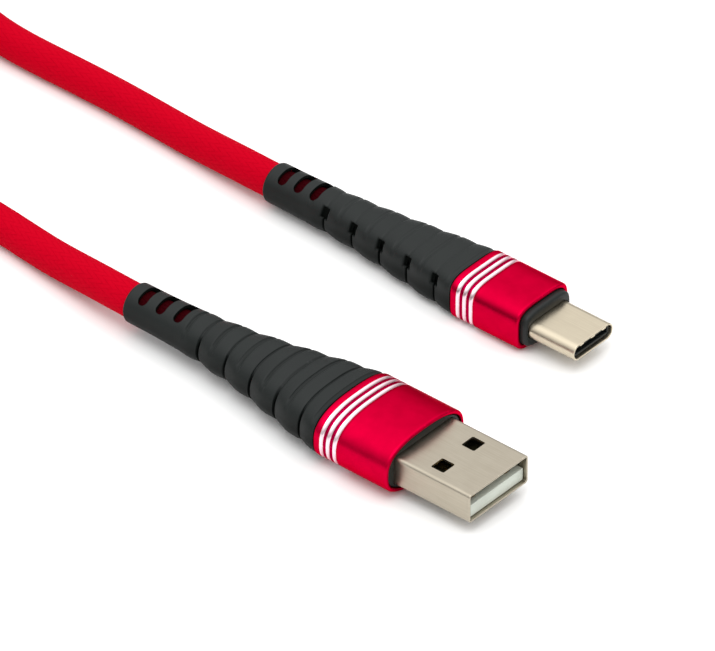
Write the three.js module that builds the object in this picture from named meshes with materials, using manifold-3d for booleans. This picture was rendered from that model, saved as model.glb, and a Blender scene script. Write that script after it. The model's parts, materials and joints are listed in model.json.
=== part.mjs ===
// A braided charging cable: a type-A plug and a type-C plug, each with an anodised collar and a ribbed boot,
// on one cord whose spare length is stored as a coil. Millimetres, +Z up, both plugs point along +X.

import * as THREE from 'three';
import { mergeVertices } from 'three/addons/utils/BufferGeometryUtils.js';
import Module from 'manifold-3d';

const wasm = await Module();
wasm.setup();

// ---- driving dimensions ----

const gap = 0.3; // clearance between neighbouring pieces
const fine = 0.1; // clearance between small pieces inside a plug
const cordDiameter = 5;
const plugSpacing = 33.8; // between the two plug axes
const tipStagger = 11.9; // how far the type-C tip lies behind the type-A tip

const typeA = {
  prefix: 'type_a_',
  shell: { width: 12, height: 4.5, corner: 0.5, wall: 0.3, exposed: 12.8, buried: 6 },
  collar: { width: 16, height: 8.6, power: 2.6, length: 12.7, wall: 0.7 },
  core: { reach: -0.2 }, // how far the black core stands out of the collar's mouth
  boot: { length: 38.2, firstGroove: 13.8, groovePitch: 5.3, grooves: 5, ventPitch: 3.15 },
};

const typeC = {
  prefix: 'type_c_',
  shell: { width: 8.3, height: 2.5, corner: 1.2, wall: 0.25, exposed: 7.8, buried: 5.4 },
  collar: { width: 10.8, height: 7, power: 4, length: 11.8, wall: 0.6 },
  core: { reach: 1 },
  boot: { length: 35.6, firstGroove: 11.1, groovePitch: 5.3, grooves: 5, ventPitch: 2.85 },
};

const bootTube = { diameter: 5.9, lip: 0.25 }; // the boot's thin end, round the cord
const flare = { inset: 0.3, start: 2.3, round: 1.5 }; // how the boot widens up to the collar
const groove = { depth: 0.28, width: 0.7, slope: 0.15 };
const vents = { count: 3, first: 2.7, length: 1.35, halfWidth: 2.1, floor: 0.8 };
const bands = { count: 3, first: 1.1, pitch: 1.15, width: 0.65, depth: 0.1, slope: 0.05 };
const collarEdge = { rear: 0.2, front: 0.4 }; // bevels at the sleeve's two ends
const jacket = { diameter: 3.4, length: 6.6, pocket: 5.2 };
const crimp = { inner: 3.9, outer: 4.7, length: 3, opening: 0.8 };

const coil = { x: -128.8, y: 4.6, innerRadius: 18.3, outerRadius: 33.3, height: 9.3, roundness: 2.2 };
const tie = { width: 8, thickness: 0.8 };

// ---- places worked out from the dimensions ----

for (const plug of [typeA, typeC]) {
  plug.collarFront = -plug.shell.exposed - plug.core.reach;
  plug.collarRear = plug.collarFront - plug.collar.length;
  plug.rear = plug.collarRear - plug.boot.length;
  plug.axisHeight = plug.collar.height / 2;
}
const tipX = (tipStagger - typeC.rear) / 2;
const sideShift = (plugSpacing + typeC.collar.width / 2 - typeA.collar.width / 2) / 2;
typeA.place = new THREE.Vector3(tipX, -sideShift, typeA.axisHeight);
typeC.place = new THREE.Vector3(tipX - tipStagger, plugSpacing - sideShift, typeC.axisHeight);

// ---- finishes ----

const finish = (color, roughness, metalness) => ({ color, roughness, metalness });
const finishes = {
  steel: finish(0xc6bcaa, 0.3, 1),
  paleSteel: finish(0xdcd0b8, 0.28, 1),
  redAluminium: finish(0xc80030, 0.35, 0.7),
  blackRubber: finish(0x1c2120, 0.6, 0),
  blackPlastic: finish(0x202423, 0.5, 0),
  palePlastic: finish(0xcdd2c6, 0.45, 0),
  gold: finish(0xd8a93c, 0.25, 1),
  tin: finish(0xa8a8a4, 0.4, 1),
  board: finish(0x1d5a36, 0.5, 0),
  ceramicChip: finish(0x17171a, 0.5, 0),
  redBraid: finish(0xc00022, 0.85, 0),
  greyJacket: finish(0x6c6f72, 0.6, 0),
  strap: finish(0x1a1a1c, 0.9, 0),
};
const wireColours = { power: 0xb0141c, data_minus: 0xe8e6e0, data_plus: 0x1f7a3c, ground: 0x161616 };

const cable = new THREE.Group();

function add(group, name, geometry, look, x = 0, y = 0, z = 0) {
  const mesh = new THREE.Mesh(geometry, new THREE.MeshStandardMaterial(look));
  mesh.name = name;
  mesh.position.set(x, y, z);
  group.add(mesh);
  return mesh;
}

// ---- solids ----

function toSolid(geometry) {
  const bare = geometry.clone();
  bare.deleteAttribute('normal');
  bare.deleteAttribute('uv');
  const merged = mergeVertices(bare, 1e-5);
  const vertProperties = new Float32Array(merged.attributes.position.array);
  const triVerts = new Uint32Array(merged.index.array);
  return new wasm.Manifold(new wasm.Mesh({ numProp: 3, vertProperties, triVerts }));
}

function toGeometry(solid) {
  const mesh = solid.getMesh();
  const geometry = new THREE.BufferGeometry();
  geometry.setAttribute('position', new THREE.BufferAttribute(mesh.vertProperties, 3));
  geometry.setIndex(new THREE.BufferAttribute(mesh.triVerts, 1));
  geometry.computeVertexNormals();
  return geometry;
}

function cut(geometry, tools) {
  let solid = toSolid(geometry);
  for (const tool of tools) {
    solid = solid.subtract(toSolid(tool));
  }
  return toGeometry(solid);
}

// A box given by its lowest and highest corners.
function block(x0, x1, y0, y1, z0, z1) {
  const box = new THREE.BoxGeometry(x1 - x0, y1 - y0, z1 - z0);
  return box.translate((x0 + x1) / 2, (y0 + y1) / 2, (z0 + z1) / 2);
}

// Turns a shape drawn in (across, up) and extruded into a solid that runs along +X from x0 to x1.
function alongX(shape, x0, x1, curveSegments = 6) {
  const geometry = new THREE.ExtrudeGeometry(shape, { depth: x1 - x0, bevelEnabled: false, curveSegments });
  const turn = new THREE.Matrix4().makeBasis(
    new THREE.Vector3(0, 1, 0), new THREE.Vector3(0, 0, 1), new THREE.Vector3(1, 0, 0));
  return geometry.applyMatrix4(turn).translate(x0, 0, 0);
}

function roundedRect(width, height, corner, path = new THREE.Shape()) {
  const w = width / 2;
  const h = height / 2;
  path.moveTo(w, -h + corner);
  path.lineTo(w, h - corner);
  path.absarc(w - corner, h - corner, corner, 0, Math.PI / 2);
  path.lineTo(-w + corner, h);
  path.absarc(-w + corner, h - corner, corner, Math.PI / 2, Math.PI);
  path.lineTo(-w, -h + corner);
  path.absarc(-w + corner, -h + corner, corner, Math.PI, Math.PI * 1.5);
  path.lineTo(w - corner, -h);
  path.absarc(w - corner, -h + corner, corner, Math.PI * 1.5, Math.PI * 2);
  return path;
}

// One ring of points: a superellipse of the given width, height and power at x.
function ring({ x, width, height, power = 2 }, sides) {
  return Array.from({ length: sides }, (_, i) => {
    const angle = (i / sides) * Math.PI * 2;
    const c = Math.cos(angle);
    const s = Math.sin(angle);
    const y = (width / 2) * Math.sign(c) * Math.abs(c) ** (2 / power);
    const z = (height / 2) * Math.sign(s) * Math.abs(s) ** (2 / power);
    return new THREE.Vector3(x, y, z);
  });
}

// A closed solid through rings of sections, from the lowest x to the highest.
function loft(stations, sides = 32) {
  const positions = [];
  const triangle = (a, b, c) => positions.push(...a, ...b, ...c);
  const rings = stations.map((station) => ring(station, sides));
  const middle = (station) => new THREE.Vector3(station.x, 0, 0);
  for (let i = 0; i < sides; i += 1) {
    const j = (i + 1) % sides;
    triangle(middle(stations[0]), rings[0][j], rings[0][i]);
    triangle(middle(stations.at(-1)), rings.at(-1)[i], rings.at(-1)[j]);
    for (let k = 0; k + 1 < rings.length; k += 1) {
      triangle(rings[k][i], rings[k][j], rings[k + 1][j]);
      triangle(rings[k][i], rings[k + 1][j], rings[k + 1][i]);
    }
  }
  const geometry = new THREE.BufferGeometry();
  geometry.setAttribute('position', new THREE.Float32BufferAttribute(positions, 3));
  return mergeVertices(geometry, 1e-5);
}

const rod = (x0, x1, diameter, sides = 16) =>
  loft([{ x: x0, width: diameter, height: diameter }, { x: x1, width: diameter, height: diameter }], sides);

// A round bar of constant thickness along a curve.
function tube(points, diameter, sides, steps) {
  const curve = new THREE.CatmullRomCurve3(points);
  const circle = new THREE.Shape(
    Array.from({ length: sides }, (_, i) => {
      const angle = (i / sides) * Math.PI * 2;
      return new THREE.Vector2((diameter / 2) * Math.cos(angle), (diameter / 2) * Math.sin(angle));
    }));
  return new THREE.ExtrudeGeometry(circle, { steps, bevelEnabled: false, extrudePath: curve });
}

// ---- pieces that both plugs have ----

// A thin-walled tube with the shell's outline.
function hollowTube({ width, height, corner, wall }, x0, x1) {
  const outline = roundedRect(width, height, corner);
  const innerCorner = corner - wall * 0.8;
  outline.holes.push(roundedRect(width - wall * 2, height - wall * 2, innerCorner, new THREE.Path()));
  return alongX(outline, x0, x1, 4);
}

const hollowShell = ({ shell }) => hollowTube(shell, -shell.exposed - shell.buried, 0);

// The collar's outside, with three shallow bands near its rear edge and a small bevel at each end.
function collarStations({ collar, collarRear, collarFront }) {
  const { width, height, power } = collar;
  const at = (x, inset) => ({ x, width: width - inset * 2, height: height - inset * 2, power });
  const stations = [at(collarRear, collarEdge.rear), at(collarRear + collarEdge.rear, 0)];
  for (let i = 0; i < bands.count; i += 1) {
    const x = collarRear + bands.first + i * bands.pitch;
    stations.push(at(x, 0), at(x + bands.slope, bands.depth));
    stations.push(at(x + bands.width - bands.slope, bands.depth), at(x + bands.width, 0));
  }
  stations.push(at(collarFront - collarEdge.front, 0), at(collarFront, collarEdge.front));
  return stations;
}

function collarSleeve(plug) {
  const { collar, collarRear, collarFront } = plug;
  const inner = {
    width: collar.width - collar.wall * 2,
    height: collar.height - collar.wall * 2,
    power: collar.power,
  };
  const bore = loft([{ x: collarRear - 1, ...inner }, { x: collarFront + 1, ...inner }]);
  return cut(loft(collarStations(plug)), [bore]);
}

// The black core that fills the collar and holds the shell.
function coreBlock(plug) {
  const { collar, shell, collarRear } = plug;
  const outer = {
    width: collar.width - (collar.wall + fine) * 2,
    height: collar.height - (collar.wall + fine) * 2,
    power: collar.power,
  };
  const front = -shell.exposed;
  const body = loft([{ x: collarRear + gap, ...outer }, { x: front, ...outer }]);
  const pocket = roundedRect(shell.width + fine * 2, shell.height + fine * 2, shell.corner + fine);
  return cut(body, [alongX(pocket, collarRear - 1, front + 1, 4)]);
}

// Width, height and squareness of the boot at a distance from its thin rear end.
function bootSection(plug, along) {
  const { collar, boot } = plug;
  const widened = 1 - (1 - (along / boot.length) ** flare.start) ** flare.round;
  const grow = (wide) => THREE.MathUtils.lerp(bootTube.diameter, wide - flare.inset, widened);
  return {
    x: plug.rear + along,
    width: grow(collar.width),
    height: grow(collar.height),
    power: THREE.MathUtils.lerp(2, collar.power, widened),
  };
}

function shrunk(section, by) {
  return { ...section, width: section.width - by * 2, height: section.height - by * 2 };
}

// The ribbed strain relief: a vented tube round the cord that flares to the collar.
function bootBody(plug) {
  const { boot } = plug;
  const stations = [
    shrunk(bootSection(plug, 0), bootTube.lip),
    bootSection(plug, bootTube.lip),
    bootSection(plug, boot.firstGroove / 2),
  ];
  for (let i = 0; i < boot.grooves; i += 1) {
    const start = boot.firstGroove + i * boot.groovePitch - groove.width / 2;
    const end = start + groove.width;
    stations.push(bootSection(plug, start), shrunk(bootSection(plug, start + groove.slope), groove.depth));
    stations.push(shrunk(bootSection(plug, end - groove.slope), groove.depth), bootSection(plug, end));
    stations.push(bootSection(plug, (start + end + boot.groovePitch) / 2));
  }
  stations.push(bootSection(plug, boot.length - gap / 2));
  const pocketStart = boot.length - jacket.length - gap * 2;
  const bore = rod(plug.rear - 1, plug.rear + pocketStart + 1, cordDiameter + fine);
  const pocket = rod(plug.rear + pocketStart, plug.collarRear + 1, jacket.pocket);
  const slots = Array.from({ length: vents.count }, (_, i) => {
    const x = plug.rear + vents.first + i * boot.ventPitch;
    const half = vents.length / 2;
    return block(x - half, x + half, -vents.halfWidth, vents.halfWidth, vents.floor, bootTube.diameter);
  });
  return cut(loft(stations), [bore, pocket, ...slots]);
}

// The stretch of braided cord that the boot holds, and the bare inner jacket in front of it.
function cordEnds(plug, group) {
  const bareRear = plug.collarRear - jacket.length - gap;
  const bareFront = plug.collarRear - gap;
  const braided = rod(plug.rear, bareRear - gap, cordDiameter - fine);
  add(group, `${plug.prefix}cord_end`, braided, finishes.redBraid);
  add(group, `${plug.prefix}inner_jacket`, rod(bareRear, bareFront, jacket.diameter), finishes.greyJacket);
  const band = rod(bareRear + 1, bareRear + 1 + crimp.length, crimp.outer);
  const hole = rod(bareRear, bareRear + 2 + crimp.length, crimp.inner);
  const split = block(bareRear, bareRear + 2 + crimp.length, -crimp.opening / 2, crimp.opening / 2, 0, 5);
  add(group, `${plug.prefix}crimp_ring`, cut(band, [hole, split]), finishes.tin);
}

// Two folded halves that close over the solder joints behind the shell.
function rearShield(plug, group) {
  const { shell } = plug;
  const front = -shell.exposed - shell.buried - gap;
  const rear = plug.collarRear + gap;
  for (const [side, up] of [['top', 1], ['bottom', -1]]) {
    const [low, high] = up > 0 ? [-5, gap / 2] : [-gap / 2, 5];
    const otherHalf = block(rear - 1, front + 1, -10, 10, low, high);
    const half = cut(hollowTube(shell, rear, front), [otherHalf]);
    add(group, `${plug.prefix}rear_shield_${side}`, half, finishes.tin);
  }
}

// Four insulated wires from the solder joints to the jacket, gathered into a square bundle.
function wires(plug, group, { spread, x, height, diameter, half = 0.48 }) {
  const end = plug.collarRear + fine;
  const bundle = [[-half, half], [-half, -half], [half, -half], [half, half]];
  Object.entries(wireColours).forEach(([name, colour], i) => {
    const [y, z] = bundle[i];
    const points = [
      new THREE.Vector3(x, spread[i], height),
      new THREE.Vector3(x - 0.8, spread[i], height),
      new THREE.Vector3(THREE.MathUtils.lerp(x, end, 0.6), (spread[i] + y * 1.6) / 2, (height + z) / 2),
      new THREE.Vector3(end + 0.5, y, z),
      new THREE.Vector3(end, y, z),
    ];
    add(group, `${plug.prefix}wire_${name}`, tube(points, diameter, 6, 8), finish(colour, 0.5, 0));
  });
}

function commonPieces(plug, group, shellGeometry, shellLook) {
  add(group, `${plug.prefix}shell`, shellGeometry, shellLook);
  add(group, `${plug.prefix}core`, coreBlock(plug), finishes.blackPlastic);
  add(group, `${plug.prefix}collar`, collarSleeve(plug), finishes.redAluminium);
  add(group, `${plug.prefix}boot`, bootBody(plug), finishes.blackRubber);
  cordEnds(plug, group);
}

// ---- type-A plug ----

function buildTypeA() {
  const group = new THREE.Group();
  group.position.copy(typeA.place);
  const window = { x: -7, length: 2.2, y: 3.1, width: 2.4 };
  const windows = [-1, 1].map((side) => block(
    window.x - window.length / 2, window.x + window.length / 2,
    side * window.y - window.width / 2, side * window.y + window.width / 2, -3, 3));
  commonPieces(typeA, group, cut(hollowShell(typeA), windows), finishes.steel);

  const tongue = { front: -0.5, rear: -17.4, half: 5.55, low: -1.85, top: 0.1 };
  const strip = { width: 1, thickness: 0.2, rear: -19.6, channel: 1.2 };
  const contacts = {
    power: [-3.5, -1.6], data_minus: [-1, -2.6], data_plus: [1, -2.6], ground: [3.5, -1.6],
  };
  const channels = Object.values(contacts).map(([y, front]) => block(
    tongue.rear - 1, front + fine, y - strip.channel / 2, y + strip.channel / 2,
    tongue.top - strip.thickness - fine, tongue.top + 1));
  const body = block(tongue.rear, tongue.front, -tongue.half, tongue.half, tongue.low, tongue.top);
  add(group, 'type_a_tongue', cut(body, channels), finishes.palePlastic);
  for (const [name, [y, front]] of Object.entries(contacts)) {
    const low = tongue.top - strip.thickness;
    const bar = block(strip.rear, front, y - strip.width / 2, y + strip.width / 2, low, tongue.top);
    add(group, `type_a_contact_${name}`, bar, finishes.gold);
  }
  rearShield(typeA, group);
  wires(typeA, group, { spread: [-3.5, -1, 1, 3.5], x: -18.2, height: 0.65, diameter: 0.8 });
  return group;
}

// ---- type-C plug ----

function buildTypeC() {
  const group = new THREE.Group();
  group.position.copy(typeC.place);
  commonPieces(typeC, group, hollowShell(typeC), finishes.paleSteel);

  const insulator = {
    front: -0.4, rear: -8.6, width: 7.5, height: 1.5, slotHalf: 3.3, slotHigh: 0.4, depth: 6.4,
  };
  const pin = { width: 0.26, thickness: 0.12, front: -1.3, rear: -10.2, pitch: 0.5, channel: 0.36 };
  const top = [
    ['a1_ground', -5.5], ['a4_power', -2.5], ['a5_config', -1.5], ['a6_data_plus', -0.5],
    ['a7_data_minus', 0.5], ['a9_power', 2.5], ['a12_ground', 5.5]];
  const bottom = [
    ['b1_ground', 5.5], ['b4_power', 2.5], ['b5_supply', 1.5], ['b9_power', -2.5], ['b12_ground', -5.5]];
  const pins = [
    ...top.map(([name, place]) => ({ name, y: place * pin.pitch, up: 1 })),
    ...bottom.map(([name, place]) => ({ name, y: place * pin.pitch, up: -1 }))];
  const pinLow = insulator.slotHigh;
  const spanZ = (up, low, high) => (up > 0 ? [low, high] : [-high, -low]);
  const channels = pins.map(({ y, up }) => block(
    insulator.rear - 1, pin.front + fine, y - pin.channel / 2, y + pin.channel / 2,
    ...spanZ(up, 0, pinLow + pin.thickness + 0.06)));
  const mouth = block(
    insulator.front - insulator.depth, insulator.front + 1, -insulator.slotHalf, insulator.slotHalf,
    -insulator.slotHigh, insulator.slotHigh);
  const latch = { front: -0.9, rear: -6.6, inner: 3.38, thickness: 0.18, half: 0.4 };
  const latchSlots = [-1, 1].map((side) => {
    const [y0, y1] = side > 0 ? [latch.inner - fine, 5] : [-5, -latch.inner + fine];
    return block(latch.rear - fine, latch.front + fine, y0, y1, -latch.half - fine, latch.half + fine);
  });
  const outline = roundedRect(insulator.width, insulator.height, insulator.height / 2 - 0.01);
  const frame = alongX(outline, insulator.rear, insulator.front, 4);
  add(group, 'type_c_insulator', cut(frame, [mouth, ...channels, ...latchSlots]), finishes.blackPlastic);

  for (const { name, y, up } of pins) {
    const bar = block(
      pin.rear, pin.front, y - pin.width / 2, y + pin.width / 2,
      ...spanZ(up, pinLow, pinLow + pin.thickness));
    add(group, `type_c_contact_${name}`, bar, finishes.gold);
  }
  for (const [name, side] of [['left', 1], ['right', -1]]) {
    const [y0, y1] = side > 0 ? [latch.inner, latch.inner + latch.thickness]
      : [-latch.inner - latch.thickness, -latch.inner];
    const arm = block(latch.rear, latch.front, y0, y1, -latch.half, latch.half);
    add(group, `type_c_latch_${name}`, arm, finishes.tin);
  }
  for (const [name, up] of [['top', 1], ['bottom', -1]]) {
    const plate = block(-5.2, -0.9, -2.6, 2.6, ...spanZ(up, 0.8, 0.92));
    add(group, `type_c_ground_spring_${name}`, plate, finishes.tin);
  }

  const board = { front: -8.9, rear: -16.4, half: 3.4, thickness: 0.6 };
  const boardTop = board.thickness / 2;
  add(group, 'type_c_board',
    block(board.rear, board.front, -board.half, board.half, -boardTop, boardTop), finishes.board);
  add(group, 'type_c_resistor',
    block(-12.6, -11.6, -0.8, 0.8, boardTop + 0.02, boardTop + 0.5), finishes.ceramicChip);
  rearShield(typeC, group);
  wires(typeC, group, { spread: [-2.4, -0.8, 0.8, 2.4], x: -15, height: 0.62, diameter: 0.56, half: 0.36 });
  return group;
}

cable.add(buildTypeA());
cable.add(buildTypeC());

// ---- cord ----

// The routes, chosen by hand: straight out of each boot, down onto the surface and along it to the coil.
const lieHeight = cordDiameter / 2;
const leadA = [
  [-29.75, -15.6, 4.3], [-34.5, -15.3, 4.1], [-39.5, -14.6, 3.5], [-45.5, -13.8, 2.85],
  [-51.5, -12.95, 2.52], [-57.5, -12.3, 2.5], [-65, -11.85, 2.5], [-77, -12, 2.5],
  [-85, -12.9, 2.5], [-92.3, -14.5, 2.5], [-99.7, -16.9, 2.5],
];
const leadC = [
  [-34.35, 18.2, 3.5], [-40.8, 18.5, 3.3], [-48.8, 19.2, 2.7], [-56.8, 19.8, 2.5],
  [-64.8, 20.2, 2.5], [-76.8, 20.3, 2.5], [-84.8, 20.4, 2.65], [-91.3, 20.9, 3.5],
  [-97.4, 22.6, 5.1],
];

function lead(name, route) {
  const points = route.map(([x, y, z]) => new THREE.Vector3(x, y, Math.max(z, lieHeight)));
  const length = new THREE.CatmullRomCurve3(points).getLength();
  const steps = Math.round(length / (cordDiameter * 1.5));
  add(cable, name, tube(points, cordDiameter - 0.02, 10, steps), finishes.redBraid);
}
lead('cord_lead_a', leadA);
lead('cord_lead_c', leadC);

// The stored length: one ring with the outer shape of the wound turns, relieved where the strap passes.
function coilRing() {
  const { innerRadius, outerRadius, height, roundness } = coil;
  const corner = (cx, cy, from) => Array.from({ length: 4 }, (_, i) => {
    const angle = from + (i / 3) * (Math.PI / 2);
    return new THREE.Vector2(cx + roundness * Math.cos(angle), cy + roundness * Math.sin(angle));
  });
  const profile = [
    ...corner(outerRadius - roundness, roundness, -Math.PI / 2),
    ...corner(outerRadius - roundness, height - roundness, 0),
    ...corner(innerRadius + roundness, height - roundness, Math.PI / 2),
    ...corner(innerRadius + roundness, roundness, Math.PI),
  ];
  profile.push(profile[0].clone());
  const ringBody = new THREE.LatheGeometry(profile, 48).rotateX(Math.PI / 2);
  const relief = block(
    -outerRadius - 1, -innerRadius + 1, -tie.width / 2 - gap, tie.width / 2 + gap, -1, tie.thickness + gap);
  return cut(ringBody, [relief]);
}
add(cable, 'cord_coil', coilRing(), finishes.redBraid, coil.x, coil.y, 0);

// The hook-and-loop strap: a closed band round the turns on the coil's far side, wide enough for their curve.
function tieBand() {
  const sag = coil.innerRadius - Math.sqrt(coil.innerRadius ** 2 - (tie.width / 2) ** 2);
  const width = coil.outerRadius - coil.innerRadius + sag + gap * 2;
  const height = coil.height + gap - tie.thickness;
  const outline = roundedRect(width + tie.thickness * 2, height + tie.thickness * 2, 1.6);
  outline.holes.push(roundedRect(width, height, 0.9, new THREE.Path()));
  const settings = { depth: tie.width, bevelEnabled: false, curveSegments: 4 };
  const band = new THREE.ExtrudeGeometry(outline, settings);
  const middle = (coil.innerRadius - sag + coil.outerRadius) / 2;
  return band.rotateX(Math.PI / 2).translate(-middle, tie.width / 2, height / 2 + tie.thickness);
}
add(cable, 'cable_tie', tieBand(), finishes.strap, coil.x, coil.y, 0);

export default cable;
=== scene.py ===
import functools
import json
import math

import bmesh
import bpy
import numpy as np
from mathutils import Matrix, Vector


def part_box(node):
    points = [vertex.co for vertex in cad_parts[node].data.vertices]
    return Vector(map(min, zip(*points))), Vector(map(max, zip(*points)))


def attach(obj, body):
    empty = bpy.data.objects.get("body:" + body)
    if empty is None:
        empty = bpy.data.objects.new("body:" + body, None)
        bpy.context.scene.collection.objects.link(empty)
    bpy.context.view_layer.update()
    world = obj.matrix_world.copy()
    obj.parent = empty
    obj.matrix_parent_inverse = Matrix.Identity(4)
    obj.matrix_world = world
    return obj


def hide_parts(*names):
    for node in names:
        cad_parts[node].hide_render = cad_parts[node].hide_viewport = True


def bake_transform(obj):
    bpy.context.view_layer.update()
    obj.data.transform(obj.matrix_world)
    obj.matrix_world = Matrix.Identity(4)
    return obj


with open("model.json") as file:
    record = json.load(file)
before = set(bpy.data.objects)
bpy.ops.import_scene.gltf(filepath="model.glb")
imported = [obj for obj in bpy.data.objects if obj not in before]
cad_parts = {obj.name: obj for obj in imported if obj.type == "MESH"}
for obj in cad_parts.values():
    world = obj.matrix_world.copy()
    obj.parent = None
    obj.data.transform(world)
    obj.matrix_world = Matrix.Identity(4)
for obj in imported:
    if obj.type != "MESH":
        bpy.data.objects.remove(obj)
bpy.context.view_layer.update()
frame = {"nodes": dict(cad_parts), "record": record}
scene = bpy.context.scene
mm = 0.001
print("frame loaded:", len(frame["nodes"]), "nodes")

# the camera looks down on the plugs from in front of their tips, on type A's side
viewpoint = {
    "azimuth": 40.62,
    "elevation": 36.56,
    "distance": 1.4286,
    "lens": 537.5,
    "aim": (-0.00405, 0.00037, 0.00364),
}


def placeCamera(settings):
    data = bpy.data.cameras.new("studioCamera")
    data.lens = settings["lens"]
    data.clip_start = 0.05
    data.clip_end = 20
    turn = math.radians(settings["azimuth"])
    rise = math.radians(settings["elevation"])
    back = Vector((math.sin(turn) * math.cos(rise), -math.cos(turn) * math.cos(rise), math.sin(rise)))
    camera = bpy.data.objects.new("studioCamera", data)
    camera.location = Vector(settings["aim"]) + back * settings["distance"]
    camera.rotation_euler = (-back).to_track_quat("-Z", "Y").to_euler()
    scene.collection.objects.link(camera)
    scene.camera = camera


placeCamera(viewpoint)
print("camera placed")


# small helpers for node trees and meshes

def addNode(tree, kind, **settings):
    node = tree.nodes.new(kind)
    for key, value in settings.items():
        setattr(node, key, value)
    return node


def feed(tree, socket, value):
    if isinstance(value, bpy.types.NodeSocket):
        tree.links.new(value, socket)
    elif value is not None:
        socket.default_value = value


def wired(tree, kind, sockets, **settings):  # a new node with its inputs fed
    node = addNode(tree, kind, **settings)
    for key, value in sockets.items():
        feed(tree, node.inputs[key], value)
    return node


def calc(tree, operation, *values):
    return wired(tree, "ShaderNodeMath", dict(enumerate(values)), operation=operation).outputs[0]


def ease(tree, value, low, high):  # 0 below low, 1 above high, smooth between
    return wired(tree, "ShaderNodeMapRange", {"Value": value, "From Min": low, "From Max": high},
                 interpolation_type="SMOOTHSTEP").outputs["Result"]


def blendValues(tree, factor, low, high):
    return wired(tree, "ShaderNodeMix", {0: factor, 2: low, 3: high}, data_type="FLOAT").outputs[0]


def blendColours(tree, factor, low, high):
    return wired(tree, "ShaderNodeMix", {0: factor, 6: low, 7: high}, data_type="RGBA").outputs[2]


def noise(tree, where, scale, detail):
    return wired(tree, "ShaderNodeTexNoise",
                 {"Vector": where, "Scale": scale, "Detail": detail}).outputs[0]


def objectPlace(tree):
    return addNode(tree, "ShaderNodeTexCoord").outputs["Object"]


def axesOf(tree, vector):
    return wired(tree, "ShaderNodeSeparateXYZ", {0: vector}).outputs


def joined(tree, *axes):
    return wired(tree, "ShaderNodeCombineXYZ", dict(enumerate(axes))).outputs[0]


def newGroup(name, inputs, outputs, kind="ShaderNodeTree"):
    group = bpy.data.node_groups.new(name, kind)
    for label, socketKind, value in inputs:
        socket = group.interface.new_socket(label, in_out="INPUT", socket_type=socketKind)
        if value is not None:
            socket.default_value = value
    for label, socketKind in outputs:
        group.interface.new_socket(label, in_out="OUTPUT", socket_type=socketKind)
    return group, addNode(group, "NodeGroupInput").outputs, addNode(group, "NodeGroupOutput").inputs


def place(tree, group, **values):
    return wired(tree, "ShaderNodeGroup", values, node_tree=group).outputs


def newPiece(name, mesh):
    mesh.name = name
    piece = bpy.data.objects.new(name, mesh)
    scene.collection.objects.link(piece)
    return piece


def softShading(mesh, angle):  # smooth shading, broken where the surface turns sharply
    sharp = math.radians(angle)
    work = bmesh.new()
    work.from_mesh(mesh)
    for face in work.faces:
        face.smooth = True
    for edge in work.edges:
        edge.smooth = len(edge.link_faces) == 2 and edge.calc_face_angle(0) < sharp
    work.to_mesh(mesh)
    work.free()


def baked(piece, name):  # what the piece's modifiers make, as a plain mesh
    graph = bpy.context.evaluated_depsgraph_get()
    mesh = bpy.data.meshes.new_from_object(
        piece.evaluated_get(graph), preserve_all_data_layers=True, depsgraph=graph)
    piece.modifiers.clear()
    bpy.data.objects.remove(piece)
    return newPiece(name, mesh)


def applyTree(source, tree, name, **values):
    modifier = source.modifiers.new(tree.name, "NODES")
    modifier.node_group = tree
    for item in tree.interface.items_tree:
        if item.item_type == "SOCKET" and item.in_out == "INPUT" and item.name in values:
            modifier[item.identifier] = values[item.name]
    return baked(source, name)


# shader effects that several finishes share

def makeGrain():  # fine speckle of a moulded or blasted surface
    group, given, result = newGroup(
        "fineGrain", [("Scale", "NodeSocketFloat", 4000)],
        [("Height", "NodeSocketFloat"), ("Drift", "NodeSocketFloat")])
    here = objectPlace(group)
    feed(group, result["Height"], noise(group, here, given["Scale"], 3))
    feed(group, result["Drift"], noise(group, here, calc(group, "DIVIDE", given["Scale"], 16), 4))
    return group


def makeBrushed():  # faint lines along the plugs, as a drawn or brushed sheet has
    group, given, result = newGroup(
        "brushedLines",
        [("Density", "NodeSocketFloat", 6000), ("Stretch", "NodeSocketFloat", 30),
         ("Smudge Scale", "NodeSocketFloat", 420)],
        [("Lines", "NodeSocketFloat"), ("Smudge", "NodeSocketFloat")])
    here = objectPlace(group)
    x, y, z = axesOf(group, here)
    stretched = joined(group, calc(group, "DIVIDE", x, given["Stretch"]), y, z)
    feed(group, result["Lines"], noise(group, stretched, given["Density"], 4))
    feed(group, result["Smudge"], noise(group, here, given["Smudge Scale"], 5))
    return group


def makeRubbed():  # 1 along handled outer edges, 0 elsewhere
    group, given, result = newGroup(
        "rubbedEdges", [("Start", "NodeSocketFloat", 0.52), ("End", "NodeSocketFloat", 0.62)],
        [("Edge", "NodeSocketFloat")])
    bend = addNode(group, "ShaderNodeNewGeometry").outputs["Pointiness"]
    feed(group, result["Edge"], ease(group, bend, given["Start"], given["End"]))
    return group


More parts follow.
